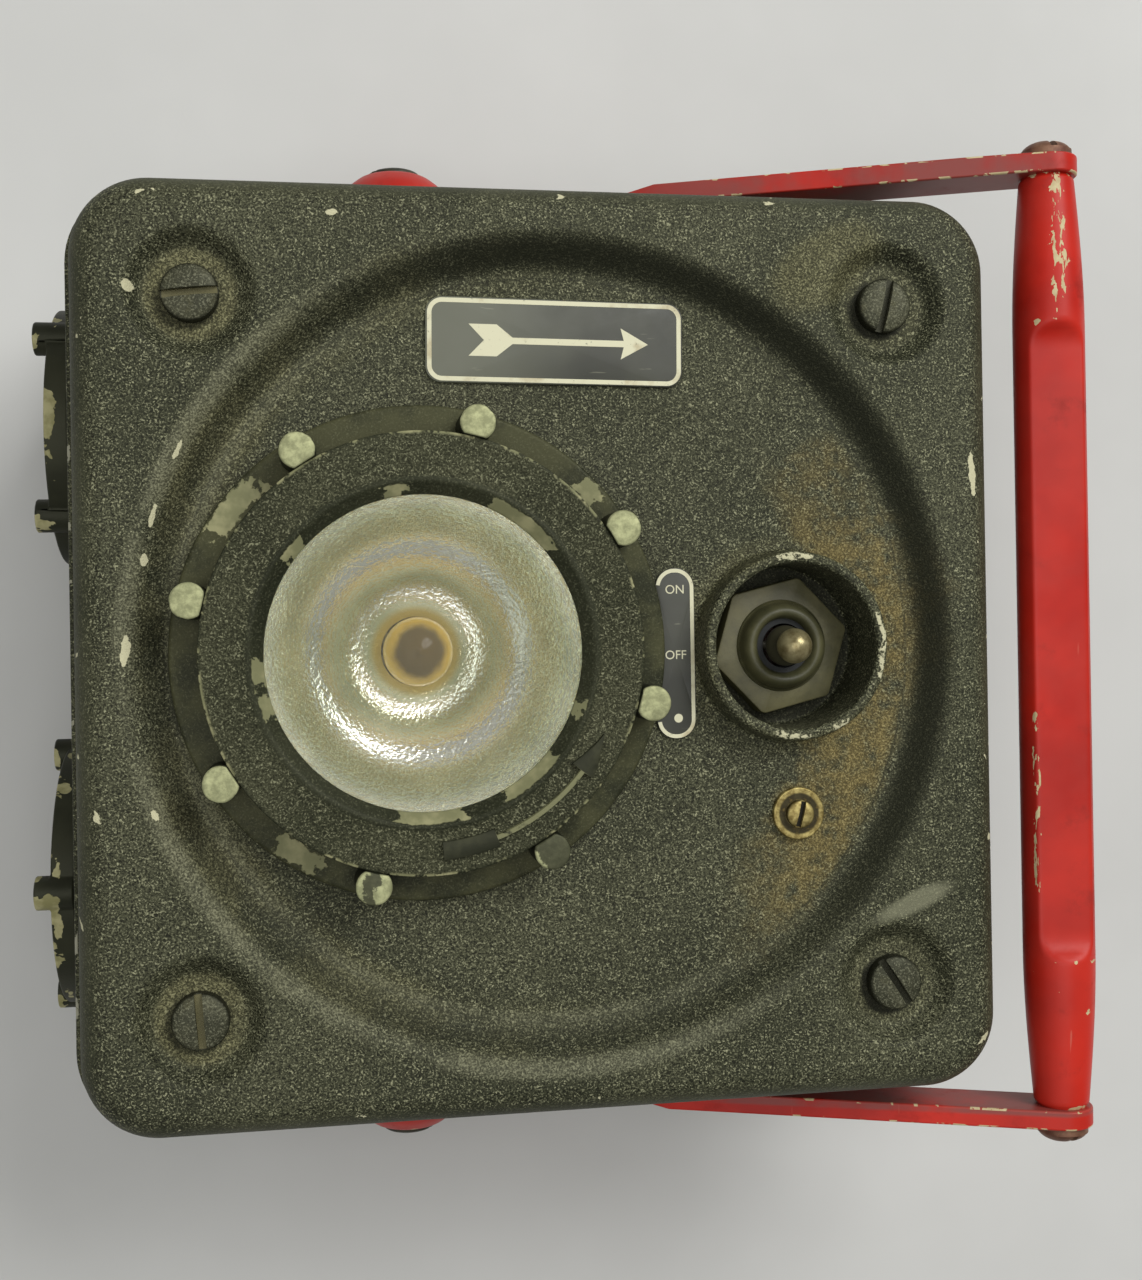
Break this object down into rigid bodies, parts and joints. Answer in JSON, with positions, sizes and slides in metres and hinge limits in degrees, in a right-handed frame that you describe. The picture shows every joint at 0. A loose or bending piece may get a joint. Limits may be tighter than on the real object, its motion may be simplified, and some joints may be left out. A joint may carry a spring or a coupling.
{
  "type": "emergency lantern",
  "caption": "Square cast lantern with a screwed lens ring, guarded toggle switch, screwed battery caps on one side and a red bail handle that swings over the face.",
  "frame": {"origin": "centre of the flat rear face", "axes": "+Z out of the lens face, +X from the battery caps towards the handle's grip, +Y along the pivot axis towards the arrow plate's side"},
  "size_m": [0.1727, 0.1722, 0.0816],
  "materials": {
    "cast_enamel": "black-olive wrinkle enamel on cast aluminium, worn at the edges",
    "ring_enamel": "black enamel, chipped at the edges and bare on the peg tops",
    "handle_red": "red enamel with worn edges",
    "screw_steel": "dull plated steel, slotted",
    "dark_steel": "blackened steel",
    "rusty_steel": "browned steel, slotted",
    "spring_steel": "plain drawn wire",
    "brass_metal": "dull brass",
    "seal_rubber": "black rubber",
    "boot_rubber": "black moulded rubber",
    "plate_black": "black plate with a pale border and sign",
    "lens_clear": "clear moulded lens",
    "bulb_glass": "clear bulb glass",
    "bowl_silver": "stippled bright reflector",
    "moulded_brown": "brown moulded insulation",
    "moulded_black": "black moulded insulation",
    "lever_metal": "dull plated lever",
    "sleeve_card": "varnished card tube",
    "cell_jacket": "plain printed jacket",
    "lead_cover": "red lead insulation"
  },
  "bodies": {
    "housing": {"case_shell": "cast_enamel", "front_cover": "cast_enamel", "cover_gasket": "seal_rubber", "cover_screws": "screw_steel", "arrow_plate": "plate_black", "switch_plate": "plate_black", "reflector": "bowl_silver", "lamp_bulb": "bulb_glass", "lamp_base": "brass_metal", "lamp_socket": "moulded_brown", "socket_screws": "screw_steel", "lamp_spring": "spring_steel", "switch_body": "moulded_brown", "switch_terminals": "brass_metal", "switch_bushing": "dark_steel", "switch_nut": "dark_steel", "switch_boot": "boot_rubber", "switch_pin": "spring_steel", "impact_block": "moulded_black", "impact_spring": "spring_steel", "impact_plug": "moulded_brown", "impact_studs": "brass_metal", "impact_screw": "brass_metal", "impact_ferrule": "brass_metal", "upper_sleeve": "sleeve_card", "lower_sleeve": "sleeve_card", "upper_cells": "cell_jacket", "lower_cells": "cell_jacket", "contact_bridge": "brass_metal", "bridge_insulator": "moulded_brown", "pivot_screws": "dark_steel", "pivot_washers": "spring_steel", "bridge_wire": "lead_cover", "lamp_wire": "lead_cover", "impact_wire": "lead_cover", "return_wire": "lead_cover"},
    "handle": {"upper_arm": "handle_red", "lower_arm": "handle_red", "grip": "handle_red", "grip_screws": "rusty_steel"},
    "toggle": {"toggle_lever": "lever_metal"},
    "lens_carrier": {"lens": "lens_clear", "lens_gasket": "seal_rubber"},
    "ring": {"lens_ring": "ring_enamel"},
    "upper_contact": {"upper_cap_spring": "spring_steel", "upper_cap_contact": "brass_metal"},
    "upper_closure": {"upper_cap": "cast_enamel", "upper_cap_gasket": "seal_rubber"},
    "lower_contact": {"lower_cap_spring": "spring_steel", "lower_cap_contact": "brass_metal"},
    "lower_closure": {"lower_cap": "cast_enamel", "lower_cap_gasket": "seal_rubber"},
    "inertia_weight": {"impact_weight": "spring_steel"}
  },
  "joints": [
    {"name": "handle_swing", "type": "hinge", "parent": "housing", "child": "handle", "pos_m": [-0.0215, 0, 0.03], "axis": [0, -1, 0], "range_deg": [-31, 170]},
    {"name": "toggle_throw", "type": "hinge", "parent": "housing", "child": "toggle", "pos_m": [0.0383, 0, 0.0659], "axis": [-1, 0, 0], "range_deg": [-12, 12]},
    {"name": "ring_lift", "type": "slide", "parent": "housing", "child": "lens_carrier", "axis": [0, 0, 1], "range_m": [0, 0.005]},
    {"name": "ring_turn", "type": "hinge", "parent": "lens_carrier", "child": "ring", "pos_m": [-0.0205, 0, 0.075], "axis": [0, 0, 1], "range_deg": [0, 720]},
    {"name": "upper_cap_travel", "type": "slide", "parent": "housing", "child": "upper_contact", "axis": [-1, 0, 0], "range_m": [0, 0.012]},
    {"name": "upper_cap_turn", "type": "hinge", "parent": "upper_contact", "child": "upper_closure", "pos_m": [-0.075, 0.038, 0.03], "axis": [-1, 0, 0], "range_deg": [0, 1440]},
    {"name": "lower_cap_travel", "type": "slide", "parent": "housing", "child": "lower_contact", "axis": [-1, 0, 0], "range_m": [0, 0.012]},
    {"name": "lower_cap_turn", "type": "hinge", "parent": "lower_contact", "child": "lower_closure", "pos_m": [-0.075, -0.038, 0.03], "axis": [-1, 0, 0], "range_deg": [0, 1440]},
    {"name": "impact_slide", "type": "slide", "parent": "housing", "child": "inertia_weight", "axis": [1, 0, 0], "range_m": [0, 0.004], "stiffness_N_per_m": 60, "springref_m": -0.002, "deforming": ["impact_spring"]}
  ],
  "couplings": [
    {"joint": "ring_lift", "follows": "ring_turn", "m_per_rad": 0.00039789},
    {"joint": "upper_cap_travel", "follows": "upper_cap_turn", "m_per_rad": 0.00047746},
    {"joint": "lower_cap_travel", "follows": "lower_cap_turn", "m_per_rad": 0.00047746}
  ]
}
